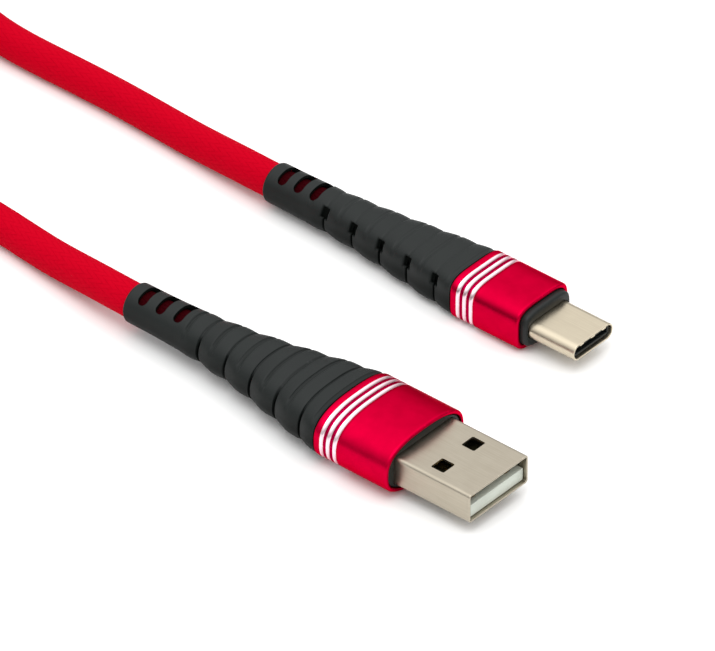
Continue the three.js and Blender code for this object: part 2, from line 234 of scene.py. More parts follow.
def makeYarns():  # two sets of yarns that cross at a slant, two over and two under
    group, given, result = newGroup(
        "braidYarns",
        [("Length", "NodeSocketFloat", 0), ("Around", "NodeSocketFloat", 0),
         ("Carriers", "NodeSocketFloat", 24), ("Pitch", "NodeSocketFloat", 1.8),
         ("Filaments", "NodeSocketFloat", 3)],
        [("Height", "NodeSocketFloat"), ("Crest", "NodeSocketFloat")])
    turns = calc(group, "MULTIPLY", given["Around"], given["Carriers"])
    along = calc(group, "DIVIDE", given["Length"], given["Pitch"])
    across = [calc(group, "ADD", turns, along), calc(group, "SUBTRACT", turns, along)]
    crests, threads = [], []
    for lane in across:
        phase = calc(group, "MULTIPLY", lane, math.pi)
        crests.append(calc(group, "ABSOLUTE", calc(group, "SINE", phase)))
        finer = calc(group, "MULTIPLY", phase, given["Filaments"])
        threads.append(calc(group, "ABSOLUTE", calc(group, "SINE", finer)))
    cell = calc(group, "ADD", calc(group, "FLOOR", across[0]), calc(group, "FLOOR", across[1]))
    over = calc(group, "LESS_THAN", calc(group, "FLOORED_MODULO", cell, 4), 2)
    crest = blendValues(group, over, crests[1], crests[0])
    thread = blendValues(group, over, threads[1], threads[0])
    height = calc(group, "ADD", calc(group, "MULTIPLY", calc(group, "POWER", crest, 0.4), 0.7),
                  calc(group, "MULTIPLY", thread, 0.3))
    feed(group, result["Height"], height)
    feed(group, result["Crest"], crest)
    return group


grainGroup = makeGrain()
brushedGroup = makeBrushed()
rubbedGroup = makeRubbed()
yarnGroup = makeYarns()


def newFinish(name, **plain):
    material = bpy.data.materials.new(name)
    material.use_nodes = True
    tree = material.node_tree
    shader = tree.nodes["Principled BSDF"]
    for label, value in plain.items():
        shader.inputs[label.replace("_", " ")].default_value = value
    return material, tree, shader.inputs


def bump(tree, sockets, height, strength, distance):
    node = wired(tree, "ShaderNodeBump", {"Strength": strength, "Distance": distance, "Height": height})
    feed(tree, sockets["Normal"], node.outputs[0])


def metalFinish(name, main, dull, rough, density=6000, stretch=30, lines=0.25):
    material, tree, sockets = newFinish(name, Metallic=1)
    marks = place(tree, brushedGroup, Density=density, Stretch=stretch)
    edge = place(tree, rubbedGroup, Start=0.53, End=0.66)["Edge"]
    tone = calc(tree, "ADD", calc(tree, "MULTIPLY", marks["Lines"], 0.6),
                calc(tree, "MULTIPLY", marks["Smudge"], 0.4))
    base = blendColours(tree, ease(tree, tone, 0.3, 0.7), dull, main)
    bright = tuple(min(1, v * 1.25) for v in main[:3]) + (1,)
    feed(tree, sockets["Base Color"], blendColours(tree, edge, base, bright))
    feed(tree, sockets["Roughness"], blendValues(tree, marks["Smudge"], rough - 0.08, rough + 0.1))
    bump(tree, sockets, marks["Lines"], lines, 0.00003)
    return material


# painted shade: how much darker and duller the boots are painted low on their sides and in their grooves
paintedShadeOnRubber = {
    "side": (0.003, 0.0042, 0.0036, 1),
    "sideShine": 0.35,
    "groove": (0.0012, 0.0018, 0.0014, 1),
    "grooveShine": 0.12,
}
# painted shade for the far end of the tongue, deep inside the shell
paintedDeepShade = (0.02, 0.018, 0.008, 1)


def mouldedFinish(name, main, dull, rough, grain=4000, level=0.5, strength=0.3, worn=None,
                  paintShadeLowAndInGrooves=False, shade=None):
    material, tree, sockets = newFinish(name, Specular_IOR_Level=level)
    grained = place(tree, grainGroup, Scale=grain)
    base = blendColours(tree, ease(tree, grained["Drift"], 0.3, 0.7), dull, main)
    if worn:
        edge = place(tree, rubbedGroup, Start=0.53, End=0.64)["Edge"]
        base = blendColours(tree, edge, base, worn)
    if paintShadeLowAndInGrooves:  # painted shade: the boots' meshes carry how deep and how far up each point is, and colour and shine are darkened low on the sides and in the grooves
        stored = {key: addNode(tree, "ShaderNodeAttribute", attribute_name=key).outputs["Fac"]
                  for key in ("hollow", "up")}
        grooveShadeMask = ease(tree, stored["hollow"], 0.1, 0.9)
        # painted shade: darker and less shiny towards the bottom of the boots
        low = calc(tree, "SUBTRACT", 1, ease(tree, stored["up"], -0.2, 0.75))
        base = blendColours(tree, low, base, paintedShadeOnRubber["side"])
        base = blendColours(tree, grooveShadeMask, base, paintedShadeOnRubber["groove"])
        sideShine = blendValues(tree, low, level, level * paintedShadeOnRubber["sideShine"])
        grooveShine = blendValues(tree, grooveShadeMask, 1, paintedShadeOnRubber["grooveShine"])
        feed(tree, sockets["Specular IOR Level"], calc(tree, "MULTIPLY", sideShine, grooveShine))
    if shade:  # painted shade deep in the mouth: dark below the first length coordinate, full colour past the second
        inside = ease(tree, axesOf(tree, objectPlace(tree))[0], *shade)
        base = blendColours(tree, inside, paintedDeepShade, base)
    feed(tree, sockets["Base Color"], base)
    feed(tree, sockets["Roughness"], blendValues(tree, grained["Drift"], rough - 0.07, rough + 0.07))
    bump(tree, sockets, grained["Height"], strength, 0.00003)
    return material


def braidFinish(name, bright, deep, carriers=24, pitch=1.8):
    material, tree, sockets = newFinish(name, Specular_IOR_Level=0.02)
    along, around, _ = axesOf(tree, addNode(tree, "ShaderNodeUVMap", uv_map="UVMap").outputs[0])
    yarns = place(tree, yarnGroup, Length=calc(tree, "DIVIDE", along, mm), Around=around,
                  Carriers=carriers, Pitch=pitch)
    drift = place(tree, grainGroup, Scale=5000)["Drift"]
    # painted shade in the weave: darker in the valleys between yarns, with a random tone drift
    tone = calc(tree, "ADD", calc(tree, "MULTIPLY", yarns["Height"], 0.8),
                calc(tree, "MULTIPLY", drift, 0.3))
    feed(tree, sockets["Base Color"], blendColours(tree, ease(tree, tone, 0.1, 0.85), deep, bright))
    feed(tree, sockets["Roughness"], blendValues(tree, yarns["Crest"], 0.9, 0.7))
    bump(tree, sockets, yarns["Height"], 0.5, 0.00006)
    return material


def anodisedFinish(name, bright, deep, rough):
    material, tree, sockets = newFinish(name, Metallic=1, Specular_Tint=(1, 0.35, 0.45, 1))
    grained = place(tree, grainGroup, Scale=9000)
    edge = place(tree, rubbedGroup, Start=0.54, End=0.68)["Edge"]
    base = blendColours(tree, ease(tree, grained["Drift"], 0.25, 0.75), deep, bright)
    worn = tuple(min(1, v * 1.2) for v in bright[:3]) + (1,)
    feed(tree, sockets["Base Color"], blendColours(tree, edge, base, worn))
    feed(tree, sockets["Roughness"], blendValues(tree, grained["Height"], rough - 0.05, rough + 0.08))
    bump(tree, sockets, grained["Height"], 0.12, 0.00002)
    return material


finishes = {
    "steel": metalFinish("satinSteel", (0.46, 0.415, 0.335, 1), (0.41, 0.365, 0.29, 1), 0.34),
    "pale_steel": metalFinish("warmSatinSteel", (0.62, 0.55, 0.42, 1), (0.57, 0.5, 0.38, 1), 0.32),
    "red_aluminium": anodisedFinish("redAnodised", (0.58, 0.0, 0.032, 1), (0.52, 0.0, 0.028, 1), 0.36),
    "deepAnodised": anodisedFinish("deepRedAnodised", (0.42, 0.0, 0.042, 1), (0.34, 0.0, 0.032, 1), 0.4),
    "brightBands": anodisedFinish("brightCut", (0.95, 0.8, 0.84, 1), (0.88, 0.7, 0.75, 1), 0.3),
    # the boots' rubber carries painted shade low on its sides and in its grooves
    "black_rubber": mouldedFinish("blackRubber", (0.0085, 0.0115, 0.0108, 1), (0.006, 0.0085, 0.008, 1),
                                  0.52, grain=5200, level=0.28, strength=0.22,
                                  worn=(0.016, 0.019, 0.0185, 1), paintShadeLowAndInGrooves=True),
    "black_plastic": mouldedFinish("blackNylon", (0.0095, 0.0125, 0.0115, 1), (0.007, 0.009, 0.0085, 1),
                                   0.5, grain=7000, level=0.3, strength=0.15),
    # the tongue is painted darker towards its rear: painted shade deep in the mouth
    "pale_plastic": mouldedFinish("paleTongue", (0.62, 0.66, 0.58, 1), (0.54, 0.57, 0.5, 1), 0.42,
                                  grain=3000, strength=0.06, shade=(0.0285, 0.0305)),
    "gold": metalFinish("goldPlate", (0.85, 0.6, 0.22, 1), (0.78, 0.52, 0.17, 1), 0.28, 9000, 12, 0.12),
    "tin": metalFinish("tinPlate", (0.56, 0.56, 0.54, 1), (0.46, 0.46, 0.44, 1), 0.42, 5000, 6, 0.3),
    "circuit_board": mouldedFinish("greenBoard", (0.02, 0.15, 0.06, 1), (0.012, 0.1, 0.04, 1), 0.3,
                                   strength=0.1),
    "ceramic_chip": mouldedFinish("chipBody", (0.022, 0.022, 0.026, 1), (0.015, 0.015, 0.018, 1), 0.5),
    "red_braid": braidFinish("redBraid", (0.5, 0.0, 0.012, 1), (0.38, 0.0, 0.008, 1)),
    "braidInShade": braidFinish("braidInShade", (0.03, 0.0, 0.0015, 1), (0.008, 0.0, 0.0005, 1)),
    "grey_jacket": mouldedFinish("greyJacket", (0.17, 0.18, 0.19, 1), (0.13, 0.14, 0.15, 1), 0.5,
                                 strength=0.15),
    "strap": mouldedFinish("loopStrap", (0.014, 0.014, 0.016, 1), (0.008, 0.008, 0.009, 1), 0.92,
                           grain=2600, level=0.15, strength=1),
}
wireColours = {
    "red": ((0.5, 0.01, 0.012, 1), (0.42, 0.008, 0.01, 1)),
    "white": ((0.8, 0.79, 0.75, 1), (0.7, 0.69, 0.65, 1)),
    "green": ((0.014, 0.21, 0.05, 1), (0.01, 0.16, 0.04, 1)),
    "black": ((0.011, 0.011, 0.012, 1), (0.008, 0.008, 0.008, 1)),
}
for colour, (main, dull) in wireColours.items():
    finishes["wire_" + colour] = mouldedFinish(colour + "Wire", main, dull, 0.4, strength=0.1)
slotOf = {part["node"]: part["material_slot"] for part in frame["record"]["subparts"]}
bodyOf = {node: body for body, nodes in frame["record"]["behaviour"]["bodies"].items() for node in nodes}
for nodeName, node in frame["nodes"].items():
    node.material_slots[0].material = finishes[slotOf[nodeName]]
print("finishes made:", len(finishes))

# the cord: from one boot along the surface, round the stored coil and back to the other boot
cordSizes = {
    "diameter": 5.0,
    "sides": 40,
    "step": 1.0,
    "hidden": 1.0,  # how far each end reaches into its boot
    "leadA": [(-29.45, -15.6, 4.3), (-34.5, -15.3, 4.1), (-39.5, -14.6, 3.5), (-45.5, -13.8, 2.85),
              (-51.5, -12.95, 2.52), (-57.5, -12.3, 2.5), (-65, -11.85, 2.5), (-77, -12, 2.5),
              (-85, -12.9, 2.5), (-92.3, -14.5, 2.5), (-99.7, -16.9, 2.5)],
    "leadC": [(-34.05, 18.2, 3.5), (-40.8, 18.5, 3.3), (-48.8, 19.2, 2.7), (-56.8, 19.8, 2.5),
              (-64.8, 20.2, 2.5), (-76.8, 20.3, 2.5), (-84.8, 20.4, 2.65), (-91.3, 20.9, 3.5),
              (-97.4, 22.6, 5.1)],
}
coilSizes = {
    "centre": (-128.8, 4.6),
    "start": -68,  # degrees round the coil where the cord comes in
    "climb": 960,  # degrees wound when it starts to roll up on the lower layer
    "turned": 1664,  # degrees wound before it leaves
    "outer": 30.8,  # centreline radius of the outermost turn
    "roll": 60,  # degrees over which a turn changes its lane
    "pack": 60,  # degrees between the turns that touch one lower turn
    "strapAt": 180,
    "strapLift": 0.85,
    "liftEnds": (5, 17),  # the strap lifts the cord fully within the first, not at all past the second
}


def smooth(value, low, high):
    t = np.clip((value - low) / (high - low), 0, 1)
    return t * t * (3 - 2 * t)


def coilPoint(wound):  # centre of the cord after so many degrees of winding
    d = cordSizes["diameter"]
    rest = d / 2
    outer, roll, climb, pack = (coilSizes[k] for k in ("outer", "roll", "climb", "pack"))
    lap = 360  # degrees in one turn
    middle = outer - d
    if wound < climb:  # the lower layer, three turns inwards
        radius = outer - d * (smooth(wound, lap - roll, lap) + smooth(wound, 2 * lap - roll, 2 * lap))
        height = rest
    else:  # the upper layer rolls over the middle turn and lies in the grooves between the lower ones
        rolled = smooth(wound, climb, climb + roll) + smooth(wound, climb + lap, climb + lap + roll)
        angle = math.radians(180 - pack * rolled)
        radius = middle + d * math.cos(angle)
        height = rest + d * math.sin(angle)
        for groove, back in ((2, climb + roll), (1, climb + lap + roll)):
            if back <= wound <= back + roll:  # the lower turns change lane underneath
                shift = d / 2 - d * smooth(wound, back, back + roll)
                radius = middle + d * math.cos(math.radians(groove * pack))
                height = rest + math.sqrt(d * d - shift * shift)
    theta = math.radians(coilSizes["start"] - wound)
    fromStrap = math.remainder(theta - math.radians(coilSizes["strapAt"]), 2 * math.pi) * radius
    height += coilSizes["strapLift"] * (1 - float(smooth(abs(fromStrap), *coilSizes["liftEnds"])))
    centreX, centreY = coilSizes["centre"]
    return (centreX + radius * math.cos(theta), centreY + radius * math.sin(theta), height)


def splineThrough(points, step):  # a smooth curve through the points, sampled every step
    points = np.array(points, float)
    at = np.concatenate([[0], np.cumsum(np.linalg.norm(np.diff(points, axis=0), axis=1))])
    n = len(at)
    h = np.diff(at)
    matrix = np.zeros((n, n))
    right = np.zeros((n, 3))
    matrix[0, 0] = matrix[-1, -1] = 1
    for i in range(1, n - 1):
        matrix[i, i - 1:i + 2] = h[i - 1], 2 * (h[i - 1] + h[i]), h[i]
        right[i] = 6 * ((points[i + 1] - points[i]) / h[i] - (points[i] - points[i - 1]) / h[i - 1])
    curve = np.linalg.solve(matrix, right)
    where = np.linspace(0, at[-1], int(at[-1] / step) + 1)
    i = np.clip(np.searchsorted(at, where) - 1, 0, n - 2)
    a, b, w = (at[i + 1] - where)[:, None], (where - at[i])[:, None], h[i][:, None]
    return (curve[i] * a ** 3 + curve[i + 1] * b ** 3) / (6 * w) + (
        (points[i] / w - curve[i] * w / 6) * a + (points[i + 1] / w - curve[i + 1] * w / 6) * b)


def cordRoute():
    coil = [coilPoint(w) for w in np.arange(0, coilSizes["turned"] + 1, 8)]
    tangent = np.array(coil[-1]) - np.array(coil[-2])
    tangent /= np.linalg.norm(tangent)
    over = [tuple(np.array(coil[-1]) + tangent * s + (0, 0, up)) for s, up in ((7, 0.4), (14, 0.4))]
    intoA = (cordSizes["leadA"][0][0] + cordSizes["hidden"], *cordSizes["leadA"][0][1:])
    intoC = (cordSizes["leadC"][0][0] + cordSizes["hidden"], *cordSizes["leadC"][0][1:])
    keys = [intoA, *cordSizes["leadA"], *coil, *over, *reversed(cordSizes["leadC"]), intoC]
    return splineThrough(keys, cordSizes["step"]) * mm


def finished(tree, geometry, material, result):  # how every tree ends
    real = wired(tree, "GeometryNodeRealizeInstances", {0: geometry})
    skin = wired(tree, "GeometryNodeSetMaterial", {"Geometry": real.outputs[0], "Material": material})
    feed(tree, result, skin.outputs[0])
    return tree


def cordTree():
    tree, given, result = newGroup(
        "roundCord",
        [("Line", "NodeSocketGeometry", None), ("Radius", "NodeSocketFloat", 0.0025),
         ("Sides", "NodeSocketInt", 40), ("Material", "NodeSocketMaterial", None)],
        [("Cord", "NodeSocketGeometry")], "GeometryNodeTree")
    tree.is_modifier = True
    curve = wired(tree, "GeometryNodeMeshToCurve", {0: given["Line"]}).outputs[0]
    ring = wired(tree, "GeometryNodeCurveArc", {
        "Resolution": given["Sides"], "Radius": given["Radius"],
        "Sweep Angle": 2 * math.pi}).outputs["Curve"]

    def measured(name, geometry, reading):  # the geometry and how far along it each point is
        node = addNode(tree, "GeometryNodeCaptureAttribute")
        node.capture_items.new("FLOAT", name)
        feed(tree, node.inputs["Geometry"], geometry)
        feed(tree, node.inputs[name], addNode(tree, "GeometryNodeSplineParameter").outputs[reading])
        return node.outputs["Geometry"], node.outputs[name]

    curve, along = measured("Along", curve, "Length")
    ring, around = measured("Around", ring, "Factor")
    tube = wired(tree, "GeometryNodeCurveToMesh", {"Curve": curve, "Profile Curve": ring})
    mapped = wired(tree, "GeometryNodeStoreNamedAttribute", {
        "Geometry": tube.outputs[0], "Name": "UVMap", "Value": joined(tree, along, around)},
        data_type="FLOAT2", domain="CORNER")
    welded = wired(tree, "GeometryNodeMergeByDistance", {
        "Geometry": mapped.outputs[0], "Distance": 0.002 * mm})
    return finished(tree, welded.outputs[0], given["Material"], result["Cord"])


def closeEnds(mesh):
    work = bmesh.new()
    work.from_mesh(mesh)
    bmesh.ops.holes_fill(work, edges=[e for e in work.edges if e.is_boundary], sides=0)
    bmesh.ops.recalc_face_normals(work, faces=work.faces)
    work.to_mesh(mesh)
    work.free()


roundCord = cordTree()


def braidedLine(name, route, diameter):
    line = bpy.data.meshes.new(name)
    line.from_pydata([tuple(p) for p in route], [(i, i + 1) for i in range(len(route) - 1)], [])
    piece = applyTree(newPiece(name + "Line", line), roundCord, name, Radius=diameter * mm / 2,
                      Sides=cordSizes["sides"], Material=finishes["red_braid"])
    closeEnds(piece.data)
    softShading(piece.data, 60)
    return piece


route = cordRoute()
cord = braidedLine("cord", route, cordSizes["diameter"])
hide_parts("cord_lead_a", "cord_lead_c", "cord_coil")
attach(cord, "cord")


# sections of the plugs, in millimetres round each plug's own axis

def evenly(outline, count):  # the same closed outline, with evenly spaced points
    closed = np.vstack([outline, outline[:1]])
    at = np.concatenate([[0], np.cumsum(np.linalg.norm(np.diff(closed, axis=0), axis=1))])
    where = np.arange(count) / count * at[-1]
    return np.stack([np.interp(where, at, closed[:, k]) for k in range(2)], axis=1)


def crowned(width, height, power, count):  # a superellipse
    t = np.linspace(0, 2 * math.pi, 1441)[:-1]
    c, s = np.cos(t), np.sin(t)
    y = width / 2 * np.sign(c) * np.abs(c) ** (2 / power)
    z = height / 2 * np.sign(s) * np.abs(s) ** (2 / power)
    return evenly(np.stack([y, z], axis=1), count)


def rounded(width, height, corner, count):  # a rectangle with round corners
    corner = min(corner, width / 2, height / 2 - 0.001)
    points = [(width / 2, 0)]
    for k, (sideY, sideZ) in enumerate(((1, 1), (-1, 1), (-1, -1), (1, -1))):
        for a in np.linspace(0, math.pi / 2, 25) + k * math.pi / 2:
            points.append((sideY * (width / 2 - corner) + corner * math.cos(a),
                           sideZ * (height / 2 - corner) + corner * math.sin(a)))
    return evenly(np.array(points), count)


def ringAt(x, outline):
    return np.column_stack([np.full(len(outline), x), outline])


def ringLoft(name, rings, axis, materials, slots=None, closed=True):  # faces from ring to ring
    count = len(rings[0])
    points = np.concatenate(rings) + (0, *axis)
    last = len(rings) if closed else len(rings) - 1
    k = np.repeat(np.arange(last), count)
    i = np.tile(np.arange(count), last)
    j, n = (i + 1) % count, (k + 1) % len(rings)
    faces = np.stack([k * count + i, k * count + j, n * count + j, n * count + i], axis=1)
    mesh = bpy.data.meshes.new(name)
    mesh.from_pydata((points * mm).tolist(), [], faces.tolist())
    for material in materials:
        mesh.materials.append(material)
    if slots is not None:
        mesh.polygons.foreach_set("material_index", np.array(slots)[k].astype(np.int32))
    mesh.update()
    return newPiece(name, mesh)


def quarter(steps, reverse=False):  # (along, inset) of a quarter round of radius 1, from its start
    turns = np.linspace(0, math.pi / 2, steps)
    rounds = [(1 - math.cos(a), 1 - math.sin(a)) for a in turns]
    return rounds[::-1] if reverse else rounds


def plugPlace(prefix, label, power):
    collar, boot, shell = (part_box(prefix + part) for part in ("collar", "boot", "shell"))
    middle = (collar[0] + collar[1]) / 2 / mm
    return {
        "prefix": prefix, "label": label, "body": prefix + "plug", "power": power,
        "axis": (middle.y, middle.z),
        "width": (collar[1].y - collar[0].y) / mm,
        "height": (collar[1].z - collar[0].z) / mm,
        "collarRear": collar[0].x / mm, "collarFront": collar[1].x / mm,
        "bootRear": boot[0].x / mm, "bootFront": boot[1].x / mm,
        "shellRear": shell[0].x / mm, "tip": shell[1].x / mm,
    }


plugs = {"A": plugPlace("type_a_", "typeA", 2.6), "C": plugPlace("type_c_", "typeC", 4)}

# the boots: ribbed and vented strain reliefs that widen from the cord to the collar
bootShape = {"tube": 5.9, "bore": 5.1, "inset": 0.3, "startPower": 2.3, "roundPower": 1.5, "lip": 0.4,
             "along": 380, "around": 200, "bend": 22}
bootRibs = {
    "A": {"First": 13.8, "Last": 35.0, "Pitch": 5.3, "Width": 0.5, "Depth": 0.46, "Top Share": 0.38,
          "Between Depth": 0.2, "Between Width": 0.8, "Bulge": 0.2, "Top Shade": 0.32,
          "Pocket Depth": 0.0, "Pocket Length": 1.0, "Pocket Low": 0.4, "Pocket High": 0.6,
          "Vent Pitch": 3.15},
    "C": {"First": 11.1, "Last": 32.3, "Pitch": 5.3, "Width": 0.4, "Depth": 0.34, "Top Share": 0.12,
          "Between Depth": 0.1, "Between Width": 0.8, "Bulge": 0.15, "Top Shade": 0.1,
          "Pocket Depth": 0.42, "Pocket Length": 1.6, "Pocket Low": 0.26, "Pocket High": 0.73,
          "Vent Pitch": 2.85},
}
innerBraid = {"from": 1.1, "step": 0.5, "thinner": 0.4}  # the cord inside each boot, seen in its vents
ventSizes = {"Vents": 3, "Vent First": 2.7, "Vent Length": 1.5, "Vent Width": 4.4, "Vent Floor": 1.0}


def bootOutline(plug, along):
    shape = bootShape
    share = min(1, max(0, along / (plug["collarRear"] - plug["bootRear"])))
    widened = 1 - (1 - share ** shape["startPower"]) ** shape["roundPower"]
    width = shape["tube"] + (plug["width"] - shape["inset"] - shape["tube"]) * widened
    height = shape["tube"] + (plug["height"] - shape["inset"] - shape["tube"]) * widened
    lip = shape["lip"]
    cutIn = lip - math.sqrt(lip * lip - (lip - along) ** 2) if along < lip else 0
    return crowned(width - 2 * cutIn, height - 2 * cutIn, 2 + (plug["power"] - 2) * widened,
                   shape["around"])


def bootTree():
    number = "NodeSocketFloat"
    labels = list(bootRibs["A"]) + ["Vent First", "Vent Length", "Vent Width", "Vent Floor",
                                    "Rear", "Side", "Rise"]
    tree, given, result = newGroup(
        "ribbedBoot",
        [("Boot", "NodeSocketGeometry", None), *((label, number, 0.0) for label in labels),
         ("Vents", "NodeSocketInt", 3), ("Material", "NodeSocketMaterial", None)],
        [("Boot", "NodeSocketGeometry")], "GeometryNodeTree")
    tree.is_modifier = True

    def stored(name, kind="FLOAT"):
        return wired(tree, "GeometryNodeInputNamedAttribute", {"Name": name}, data_type=kind).outputs[0]

    def total(*values):
        return functools.reduce(lambda a, b: calc(tree, "ADD", a, b), values)

    def times(*values):
        return functools.reduce(lambda a, b: calc(tree, "MULTIPLY", a, b), values)

    def less(a, b):
        return calc(tree, "SUBTRACT", a, b)

    along, up, outside = stored("along"), stored("up"), stored("outside")
    first, last, pitch = given["First"], given["Last"], given["Pitch"]

    def lane(shift, width, lowest=0):  # 1 in each groove of a row, with soft walls, and the place in it
        where = less(less(along, first), shift)
        step = calc(tree, "ROUND", calc(tree, "DIVIDE", where, pitch))
        highest = calc(tree, "ROUND", calc(tree, "DIVIDE", less(last, first), pitch))
        near = calc(tree, "MAXIMUM", lowest, calc(tree, "MINIMUM", step, highest))
        local = less(where, times(near, pitch))
        half = times(width, 0.5)
        return less(1, ease(tree, calc(tree, "ABSOLUTE", local), times(half, 0.55), half)), local

    full, local = lane(0, given["Width"])
    between, _ = lane(times(pitch, 0.5), given["Between Width"], -1)
    overTop = ease(tree, up, 0.3, 0.85)
    fullDepth = times(given["Depth"], blendValues(tree, overTop, 1, given["Top Share"]))
    depth = total(times(full, fullDepth), times(between, given["Between Depth"], overTop))
    inRibs = times(ease(tree, along, less(first, pitch), first),
                   less(1, ease(tree, along, last, total(last, pitch))))
    phase = calc(tree, "DIVIDE", times(local, math.pi), pitch)
    arch = calc(tree, "ABSOLUTE", calc(tree, "SINE", phase))
    wave = less(1.6, times(arch, 2))  # ribs are round between grooves
    bulge = times(given["Bulge"], blendValues(tree, overTop, 1, 0.6))
    pocket, _ = lane(0, given["Pocket Length"])
    window = times(ease(tree, up, less(given["Pocket Low"], 0.05), given["Pocket Low"]),
                   less(1, ease(tree, up, given["Pocket High"], total(given["Pocket High"], 0.05))))
    opening = times(pocket, window)
    depth = total(depth, times(wave, bulge, inRibs), times(opening, given["Pocket Depth"]))
    anyPocket = calc(tree, "GREATER_THAN", given["Pocket Depth"], 0)
    # painted shade: how dark each groove and pocket is painted, stored on the mesh for the rubber's finish
    hollow = calc(tree, "MAXIMUM", times(full, blendValues(tree, overTop, 1, given["Top Shade"])),
                  times(opening, anyPocket))
    hollow = calc(tree, "MAXIMUM", hollow, times(between, overTop, given["Top Shade"]))
    depth = calc(tree, "MINIMUM", depth, times(stored("wall"), 0.8))
    offset = wired(tree, "ShaderNodeVectorMath", {
        0: stored("inward", "FLOAT_VECTOR"), "Scale": times(depth, outside, mm)}, operation="SCALE")
    ribbed = wired(tree, "GeometryNodeSetPosition", {
        "Geometry": given["Boot"], "Offset": offset.outputs[0]})
    marked = wired(tree, "GeometryNodeStoreNamedAttribute", {
        "Geometry": ribbed.outputs[0], "Name": "hollow", "Value": times(hollow, outside)},
        data_type="FLOAT", domain="POINT")

    # the vents: round-ended blocks in a row, cut out of the top
    ventLength = times(given["Vent Length"], mm)
    outline = wired(tree, "GeometryNodeCurvePrimitiveQuadrilateral", {
        "Width": ventLength, "Height": times(given["Vent Width"], mm)})
    soft = wired(tree, "GeometryNodeFilletCurve", {
        "Curve": outline.outputs[0], "Count": 6, "Radius": times(ventLength, 0.42)}, mode="POLY")
    slab = wired(tree, "GeometryNodeFillCurve", {"Curve": soft.outputs[0]})
    block = wired(tree, "GeometryNodeExtrudeMesh", {
        "Mesh": slab.outputs[0], "Offset": joined(tree, 0, 0, 5 * mm), "Individual": False})
    under = wired(tree, "GeometryNodeFlipFaces", {0: slab.outputs[0]})
    cutter = wired(tree, "GeometryNodeJoinGeometry", {0: under.outputs[0]})
    feed(tree, cutter.inputs[0], block.outputs[0])
    solid = wired(tree, "GeometryNodeMergeByDistance", {
        "Geometry": cutter.outputs[0], "Distance": 0.001 * mm})
    start = joined(tree, times(total(given["Rear"], given["Vent First"]), mm), times(given["Side"], mm),
                   times(total(given["Rise"], given["Vent Floor"]), mm))
    row = wired(tree, "GeometryNodeMeshLine", {
        "Count": given["Vents"], "Start Location": start,
        "Offset": joined(tree, times(given["Vent Pitch"], mm), 0, 0)})
    copies = wired(tree, "GeometryNodeInstanceOnPoints", {
        "Points": row.outputs[0], "Instance": solid.outputs[0]})
    cutters = wired(tree, "GeometryNodeRealizeInstances", {0: copies.outputs[0]})
    vented = wired(tree, "GeometryNodeMeshBoolean", {
        "Mesh 1": marked.outputs[0], "Mesh 2": cutters.outputs[0]}, operation="DIFFERENCE", solver="EXACT")
    return finished(tree, vented.outputs[0], given["Material"], result["Boot"])


ribbedBoot = bootTree()


def store(mesh, name, values, kind="FLOAT"):
    attribute = mesh.attributes.new(name, kind, "POINT")
    attribute.data.foreach_set("vector" if kind == "FLOAT_VECTOR" else "value",
                               np.asarray(values, np.float32).ravel())


def makeBoot(key):
    plug, shape = plugs[key], bootShape
    long = plug["bootFront"] - plug["bootRear"]
    lip = shape["lip"]
    places = np.concatenate([lip * np.array([0, 0.06, 0.2, 0.4, 0.65, 1]),
                             np.linspace(lip, long, shape["along"])[1:]])
    rings, up, inward, along, wall = [], [], [], [], []
    for s in places:
        outline = bootOutline(plug, s)
        tangent = np.roll(outline, -1, axis=0) - np.roll(outline, 1, axis=0)
        tangent /= np.linalg.norm(tangent, axis=1)[:, None]
        rings.append(ringAt(plug["bootRear"] + s, outline))
        up.append(outline[:, 1] / outline[:, 1].max())
        inward.append(np.column_stack([np.zeros(len(outline)), -tangent[:, 1], tangent[:, 0]]))
        along.append(np.full(len(outline), s))
        wall.append(np.linalg.norm(outline, axis=1) - shape["bore"] / 2)
    outer = len(rings)
    for s in np.concatenate([[long], np.linspace(long - 0.5, 0.3, 12), [0.05]]):
        bore = crowned(shape["bore"], shape["bore"], 2, shape["around"])
        rings.append(ringAt(plug["bootRear"] + s, bore))
        up.append(bore[:, 1])
        inward.append(np.zeros((len(bore), 3)))
        along.append(np.full(len(bore), s))
        wall.append(np.zeros(len(bore)))
    base = ringLoft("bootBlank", rings, plug["axis"], [finishes["black_rubber"]])
    store(base.data, "along", np.concatenate(along))
    store(base.data, "up", np.concatenate(up))
    store(base.data, "wall", np.concatenate(wall))
    store(base.data, "inward", np.concatenate(inward), "FLOAT_VECTOR")
    store(base.data, "outside", np.arange(len(rings)).repeat(shape["around"]) < outer)
    settings = {**bootRibs[key], **ventSizes, "Rear": plug["bootRear"], "Side": plug["axis"][0],
                "Rise": plug["axis"][1], "Material": finishes["black_rubber"]}
    boot = applyTree(base, ribbedBoot, plug["label"] + "Boot", **settings)
    for name in ("along", "inward", "outside", "wall"):
        if name in boot.data.attributes:
            boot.data.attributes.remove(boot.data.attributes[name])
    softShading(boot.data, 42)
    return boot


def bendWithBoot(piece):  # bakes the piece's placement into its mesh; nothing is bent
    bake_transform(piece)


def standFor(piece, node):
    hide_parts(node)
    return piece


for key, plug in plugs.items():
    boot = standFor(makeBoot(key), plug["prefix"] + "boot")
    bendWithBoot(boot)
    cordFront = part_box(plug["prefix"] + "cord_end")[1].x / mm
    y, z = plug["axis"]
    inside = [(x * mm, y * mm, z * mm)
              for x in np.arange(plug["bootRear"] + innerBraid["from"], cordFront, innerBraid["step"])]
    braided = braidedLine(plug["label"] + "BraidInBoot", inside,
                          cordSizes["diameter"] - innerBraid["thinner"])
    # painted shade: the cord inside the boot gets a near-black copy of the red braid
    braided.data.materials[0] = finishes["braidInShade"]
    standFor(braided, plug["prefix"] + "cord_end")
    bendWithBoot(braided)
print("boots made")

